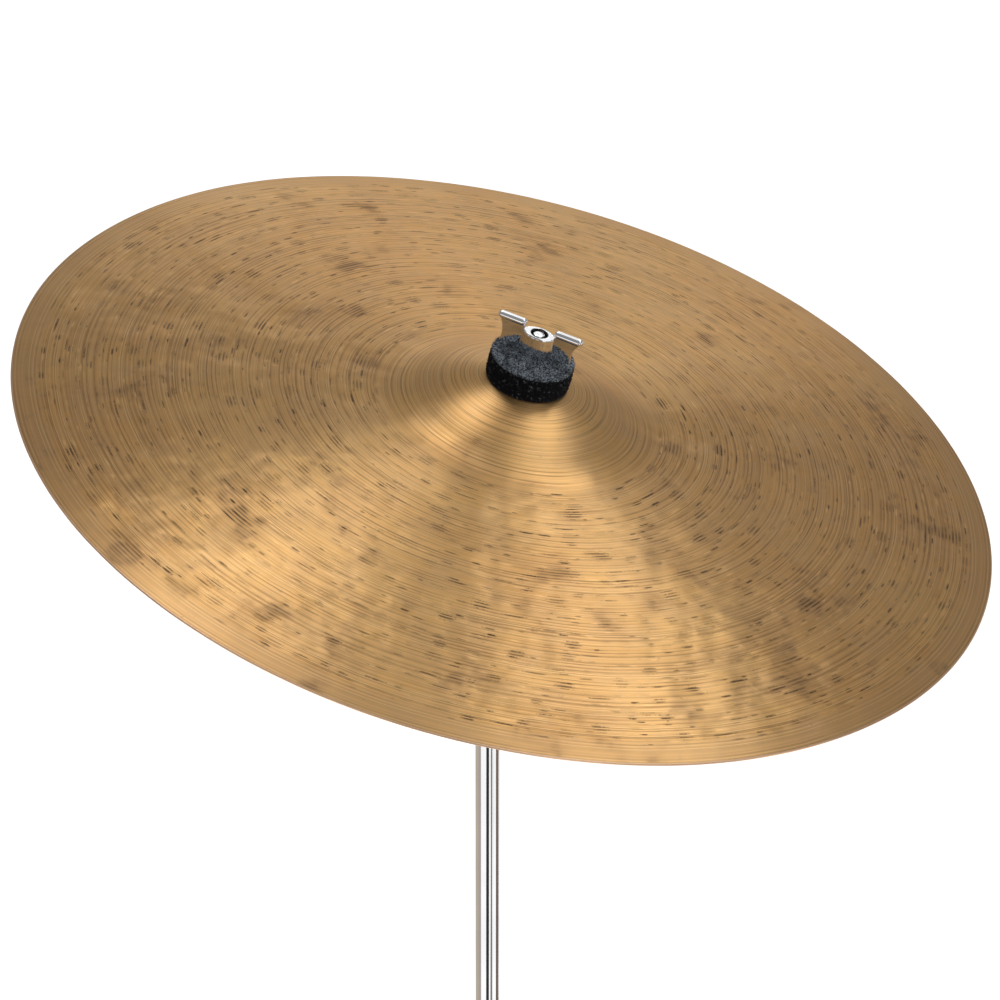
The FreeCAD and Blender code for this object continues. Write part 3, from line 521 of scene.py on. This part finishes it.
# ---- the cymbal ---------------------------------------------------------------------------------
def section_height(radius):
    """Height of the sheet's top face over the hinge, in rod space, at each radius."""
    bow_r = (CYMBAL_R**2 + BOW_RISE**2) / (2 * BOW_RISE)
    bow_z = BELL_TOP - CYMBAL_H + BOW_RISE - bow_r
    bell_z = BELL_TOP - BELL_CURVE
    near, far, apart = BELL_CURVE + BELL_FILLET, bow_r + BELL_FILLET, bell_z - bow_z
    fillet_z = (far**2 - near**2 + apart**2) / (2 * apart) + bow_z
    fillet_r = math.sqrt(far**2 - (fillet_z - bow_z) ** 2)
    bell_end = fillet_r * BELL_CURVE / near
    bow_start = fillet_r * bow_r / far
    bell = bell_z + np.sqrt(np.maximum(BELL_CURVE**2 - radius**2, 0))
    bow = bow_z + np.sqrt(bow_r**2 - radius**2)
    hollow = fillet_z - np.sqrt(np.maximum(BELL_FILLET**2 - (radius - fillet_r) ** 2, 0))
    return np.where(radius < bell_end, bell, np.where(radius < bow_start, hollow, bow))


def chance_of(layer, draw, ring, cell):
    """The same number from -1 to 1 as the material draws for this mark."""
    by_ring, by_cell, start = layer.scatter
    ring_share, cell_share, step = DRAWS[draw]
    return np.sin(ring * by_ring * ring_share + start + step + cell * by_cell * cell_share)


def mark_depth(radius, angle):
    """The hammer marks' pits, 0 to 1, on the same cells as the bronze material's."""
    depth = np.zeros_like(radius)
    for layer in MARK_LAYERS:
        ring = np.floor((radius - MARK_START) / layer.pitch)
        ring_r = MARK_START + (ring + 0.5) * layer.pitch
        count = np.floor(np.maximum(ring_r, MM) * 2 * math.pi / layer.spacing)
        place = ((angle / (2 * math.pi) + 0.5 + ring * RING_TURN) % 1.0) * count
        cell = np.floor(place)
        shove_r, shove_t, size = (
            chance_of(layer, draw, ring, cell) for draw in ("across", "along", "size")
        )
        off_r = radius - ring_r - SHOVE_ACROSS * layer.pitch * shove_r
        off_t = (place - cell - 0.5 - SHOVE_ALONG * shove_t) * layer.spacing
        size = (size * SIZE_SPREAD + SIZE_MIDDLE) * PIT_WIDER
        across, along = off_r / (size * layer.across), off_t / (size * layer.along)
        depth = np.maximum(depth, np.exp(-(across**2) - along**2) * layer.dark)
    return depth * ((radius > MARK_START) & (radius < CYMBAL_R - RIM_BAND + 1 * MM))


def cymbal_mesh():
    """The whole sheet as one closed grid: top face out to the rim, round the edge, underside back."""
    rng = np.random.default_rng(SEED)
    edge_start = CYMBAL_R - EDGE_ROUND
    top_r = np.linspace(HOLE_R, edge_start, SHEET_TOP)
    edge = np.linspace(0, math.pi, SHEET_EDGE)[1:]
    low_r = np.linspace(edge_start, HOLE_R, SHEET_UNDER)[1:]
    radius = np.concatenate([top_r, edge_start + EDGE_ROUND * np.sin(edge), low_r])
    depth = np.concatenate(
        [np.zeros(top_r.size), (1 - np.cos(edge)) * SHEET / 2, np.full(low_r.size, SHEET)]
    )
    angle = np.linspace(-math.pi, math.pi, SHEET_AROUND, endpoint=False)
    grid_r, grid_a = np.meshgrid(radius, angle, indexing="ij")
    x, y = grid_r * np.cos(grid_a), grid_r * np.sin(grid_a)
    z = section_height(grid_r) - depth[:, None]
    easing = np.clip((grid_r - WAVES_START) / WAVES_START, 0, 1)
    calm = np.clip((CYMBAL_R - grid_r) / RIM_CALM, 0.25, 1)
    for height, length, count, dies_down in SHEET_WAVES:
        z += height * easing * (calm if dies_down else 1) * waves(x, y, length, count, rng)
    z += LATHE_WAVE * np.sin(grid_r / LATHE_WAVE_PITCH * 2 * math.pi) * easing
    z -= PIT_DEPTH * mark_depth(grid_r, grid_a)
    return ring_mesh(np.stack([x, y, z], -1), "cymbal_sheet")


# ---- felts --------------------------------------------------------------------------------------
def felt_profile(felt):
    """Points round a washer's section: distance from the axis, and share of the way up."""
    inner = felt.radius - FELT_EDGE
    rim = FELT_EDGE / (felt.high - felt.low)
    bend = np.linspace(0, math.pi / 2, FELT_BEND)[1:]
    side = np.linspace(1 - rim, rim, FELT_SIDE)[1:]
    base = np.linspace(inner, FELT_BORE, FELT_UNDER)[1:]
    wall = np.linspace(0, 1, FELT_WALL)[1:-1]
    radius = [np.linspace(felt.mouth, inner, FELT_TOP), inner + FELT_EDGE * np.sin(bend)]
    radius += [np.full(side.size, felt.radius), inner + FELT_EDGE * np.cos(bend)]
    radius += [base, np.full(wall.size, FELT_BORE)]
    level = [np.ones(FELT_TOP), 1 - (1 - np.cos(bend)) * rim, side]
    level += [(1 - np.sin(bend)) * rim, np.zeros(base.size), wall]
    return np.concatenate(radius), np.concatenate(level)


def felt_mesh(name, felt, on_bell):
    """A pressed felt washer in rod space, teased on its free faces and swollen round the nut."""
    rng = np.random.default_rng(SEED + len(name))
    radius, level = felt_profile(felt)
    angle = np.linspace(0, 2 * math.pi, FELT_AROUND, endpoint=False)
    grid_r, grid_a = np.meshgrid(radius, angle, indexing="ij")
    share = np.repeat(level[:, None], FELT_AROUND, axis=1)
    x, y = grid_r * np.cos(grid_a), grid_r * np.sin(grid_a)
    floor, roof = np.full_like(x, felt.low), np.full_like(x, felt.high)
    if on_bell:
        floor = section_height(grid_r) + FELT_GAP
        towards = np.maximum(np.cos(grid_a - FELT_LIFT_TOWARDS), 0) ** 2
        free_width = felt.radius - NUT_HUB_R
        roof += FELT_SWELL * smooth_step((felt.radius - grid_r) / free_width)
        roof += FELT_LIFT * smooth_step((grid_r - NUT_HUB_R) / free_width) * towards
        height, length, count = FELT_ROLL
        roll = waves(x, y, length, count, rng)
        roof += height * roll * smooth_step((grid_r - NUT_HUB_R) / MM)
    else:
        roof = section_height(grid_r) - SHEET - FELT_GAP
    z = floor + (roof - floor) * share
    on_side = grid_r > felt.radius - FELT_EDGE
    bulge = FELT_BULGE * np.sin(math.pi * share) * on_side
    height, length, count = FELT_TUFTS
    fuzz = height * waves(x, y + z, length, count, rng)
    height, length, count = FELT_TANGLE
    fuzz += height * waves(x + z, y, length, count, rng)
    fuzz += FELT_GRAIN * rng.normal(0, 1, x.shape)
    fuzz *= smooth_step((grid_r - 5 * MM) / MM) * (share > 0.12)
    if not on_bell:
        fuzz *= share < 0.9
    grow = 1 + (bulge + fuzz * on_side) / np.maximum(grid_r, MM)
    z += TOP_FUZZ * fuzz * (share > 0.9)
    return ring_mesh(np.stack([x * grow, y * grow, z], -1), name)


def fibre_root(felt, number, on_bell, rng):
    """Where a loose fibre starts and the way it points: two in five on top, two at the edge."""
    turn = rng.uniform(0, 2 * math.pi)
    outward = Vector((math.cos(turn), math.sin(turn), 0))
    lift = FELT_LIFT * max(math.cos(turn - FELT_LIFT_TOWARDS), 0) ** 2 if on_bell else 0.0
    kind = number % 5
    if kind < 2 and on_bell:
        reach = rng.uniform(NUT_HUB_R + 3 * MM, felt.radius)
        swell = FELT_SWELL * (1 - (reach - NUT_HUB_R) / (felt.radius - NUT_HUB_R)) ** 1.5
        start = outward * reach + Vector((0, 0, felt.high + swell + 0.5 * lift - 0.15 * MM))
        return start, Vector((rng.normal(0, 1.0), rng.normal(0, 1.0), abs(rng.normal(0.35, 0.3))))
    if kind < 4 and on_bell:
        start = outward * (felt.radius - 0.2 * MM) + Vector((0, 0, felt.high + lift - 0.2 * MM))
        rise = (0.4, 0.6)
    else:
        level = rng.uniform(felt.low + 2.5 * MM, felt.high - 2 * MM)
        start = outward * (felt.radius - 0.05 * MM) + Vector((0, 0, level))
        rise = (0, 0.7)
    return start, outward * 0.5 + Vector((rng.normal(0, 0.7), rng.normal(0, 0.7), rng.normal(*rise)))


def fibres(name, felt, count, on_bell):
    """Loose wool fibres standing off the felt's rim and top, as thin tapering strips."""
    rng = np.random.default_rng(FIBRE_SEED)
    points, quads = [], []
    for number in range(count):
        start, way = fibre_root(felt, number, on_bell, rng)
        way.normalize()
        length = rng.uniform(0.4, 1.0) * FIBRE_LENGTH
        bend = Vector(rng.normal(0, 0.5, 3))
        width = rng.uniform(*FIBRE_HALF_WIDTH)
        aside = way.cross(Vector((0.3, 0.5, 1))).normalized()
        previous = None
        for step in range(FIBRE_STEPS):
            t = step / (FIBRE_STEPS - 1)
            here = start + way * length * t + bend * length * t * t * 0.6
            half = aside * width * (1 - FIBRE_TAPER * t)
            thick = way.cross(half)
            ring = list(range(len(points), len(points) + 4))
            points += [tuple(here + corner) for corner in (half, thick, -half, -thick)]
            if previous:
                for k in range(4):
                    quads.append((previous[k], previous[(k + 1) % 4], ring[(k + 1) % 4], ring[k]))
            else:
                quads.append(tuple(reversed(ring)))
            previous = ring
        quads.append(tuple(previous))
    return mesh_from(np.array(points), np.array(quads), name)


# ---- studio -------------------------------------------------------------------------------------
def around_cymbal(azimuth, elevation, distance):
    """A place seen from the cymbal: azimuth from +Y towards +X, elevation above the horizon."""
    a, e = math.radians(azimuth), math.radians(elevation)
    way = Vector((math.sin(a) * math.cos(e), math.cos(a) * math.cos(e), math.sin(e)))
    return MIDDLE + way * distance


def softbox(name, azimuth, elevation, distance, size, radiance):
    """A rectangular light that faces the cymbal."""
    lamp = bpy.data.lights.new(name, "AREA")
    lamp.shape = "RECTANGLE"
    lamp.size, lamp.size_y = size
    lamp.energy = radiance * math.pi * size[0] * size[1]
    made = bpy.data.objects.new(name, lamp)
    made.location = around_cymbal(azimuth, elevation, distance)
    made.rotation_euler = (MIDDLE - made.location).to_track_quat("-Z", "Y").to_euler()
    bpy.context.collection.objects.link(made)
    return made


def card(number, start, end, tone):
    """A toned card below the cymbal, unseen by the camera, for the plating to mirror as a band."""
    s = Shader(
        f"card_tone_{number}",
        Base_Color=(0, 0, 0, 1),
        Roughness=1.0,
        Emission_Color=(*tone, 1),
        Emission_Strength=1.0,
    )
    middle = math.radians((start + end) / 2)
    half = CARD_REACH * math.tan(math.radians(abs(end - start) / 2))
    out = Vector((math.sin(middle), math.cos(middle), 0)) * CARD_REACH
    side = Vector((math.cos(middle), -math.sin(middle), 0)) * half
    foot, head = out + Vector((0, 0, CARD_FOOT)), out + Vector((0, 0, CARD_HEAD))
    corners = [foot - side, foot + side, head + side, head - side]
    made = mesh_from(np.array([tuple(c) for c in corners]), np.array([[0, 1, 2, 3]]), f"card_{number}")
    made.data.materials.append(s.material)
    made.visible_camera = False
    made.visible_diffuse = False
    made.visible_shadow = False


def add_camera():
    a, e = math.radians(CAMERA_AZIMUTH), math.radians(CAMERA_ELEVATION)
    out = Vector((math.sin(a) * math.cos(e), -math.cos(a) * math.cos(e), math.sin(e)))
    right = (-out).cross(Vector((0, 0, 1))).normalized()
    up = right.cross(-out)
    lens = bpy.data.cameras.new("camera")
    lens.lens = CAMERA_LENS
    lens.sensor_width = SENSOR
    made = bpy.data.objects.new("camera", lens)
    made.location = PIVOT_OF_VIEW + out * CAMERA_DISTANCE
    aim = PIVOT_OF_VIEW + right * AIM_RIGHT - up * AIM_DOWN
    made.rotation_euler = (aim - made.location).to_track_quat("-Z", "Y").to_euler()
    bpy.context.collection.objects.link(made)
    bpy.context.scene.camera = made


def add_studio():
    corners = [[-1, -1, 0], [1, -1, 0], [1, 1, 0], [-1, 1, 0]]
    floor = mesh_from(
        np.array(corners, float) * FLOOR_HALF - [0, 0, FLOOR_DROP], np.array([[0, 1, 2, 3]]), "floor"
    )
    floor.data.materials.append(floor_material())
    world = bpy.data.worlds.new("studio")
    bpy.context.scene.world = world
    world.use_nodes = True
    world.node_tree.nodes["Background"].inputs[0].default_value = (1, 1, 1, 1)
    world.node_tree.nodes["Background"].inputs[1].default_value = SURROUND
    for lamp in LAMPS:
        softbox(*lamp)
    lit = bpy.data.collections.new("sheen_on")
    for name in SHEEN_ON:
        lit.objects.link(frame["nodes"][name])
    softbox(*NUT_SHEEN).light_linking.receiver_collection = lit
    for number, band in enumerate(CARDS, start=1):
        card(number, *band)
    bpy.context.scene.view_settings.view_transform = "Standard"


# ---- assembly -----------------------------------------------------------------------------------
def paint(obj, material):
    obj.data.materials.clear()
    obj.data.materials.append(material)


def refine(obj):
    """Welds the tessellation, then softens the node's sharp edges."""
    weld = obj.modifiers.new("weld", "WELD")
    weld.merge_threshold = WELD_GAP
    bevel = obj.modifiers.new("edge", "BEVEL")
    bevel.width = SOFTENED_EDGE
    bevel.segments = 2
    bevel.limit_method = "ANGLE"
    bevel.angle_limit = SOFTEN_OVER
    bevel.harden_normals = True
    bevel.use_clamp_overlap = True


def finish_nodes(looks):
    """Gives each CAD node the look of its material slot, and softens the hard pieces' edges."""
    slots = {p["node"]: p["material_slot"] for p in frame["record"]["subparts"]}
    for name, node in frame["nodes"].items():
        look = "threaded_rod" if name == "cymbal_rod" else slots[name]
        if look == "chrome" and name not in BRIGHTEST:
            look = "stand_chrome"
        if look in looks:
            paint(node, looks[look])
        if slots[name] in ("chrome", "steel", "nylon", "black_rubber"):
            refine(node)


def main():
    looks = {
        "bronze": bronze(),
        "chrome": chrome("chrome"),
        # the rod's plating, with painted shade along its thread in the nut's hole
        "threaded_rod": chrome("threaded_rod", shade_band=THREAD_SHADE),
        "stand_chrome": chrome("stand_chrome", rough=0.09, tint=STAND_PLATING),
        "steel": steel("steel"),
        "nylon": moulded("nylon", (0.02, 0.02, 0.022, 1), (0.05, 0.05, 0.055, 1), 0.38),
        "black_rubber": moulded(
            "black_rubber", (0.012, 0.012, 0.012, 1), (0.05, 0.048, 0.045, 1), 0.6, 600.0, 0.12
        ),
        "friction_fibre": moulded(
            "friction_fibre", (0.07, 0.035, 0.02, 1), (0.12, 0.07, 0.04, 1), 0.8, 700.0, 0.1
        ),
    }
    finish_nodes(looks)

    sheet = cymbal_mesh()
    sheet.matrix_world = ROD
    paint(sheet, looks["bronze"])
    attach(sheet, "cymbal")
    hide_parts("cymbal")

    wool = felt_material("black_felt", WOOL_DARK, WOOL_LIGHT)
    for name, felt, node, on_bell, hairs in (
        ("felt_top", UPPER_FELT, "upper_felt", True, 3600),
        ("felt_under", LOWER_FELT, "lower_felt", False, 900),
    ):
        pad = felt_mesh(name, felt, on_bell)
        fluff = fibres(name + "_fibres", felt, hairs, on_bell)
        for piece in (pad, fluff):
            piece.matrix_world = ROD
            paint(piece, wool)
            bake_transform(piece)
        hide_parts(node)

    add_camera()
    add_studio()


main()
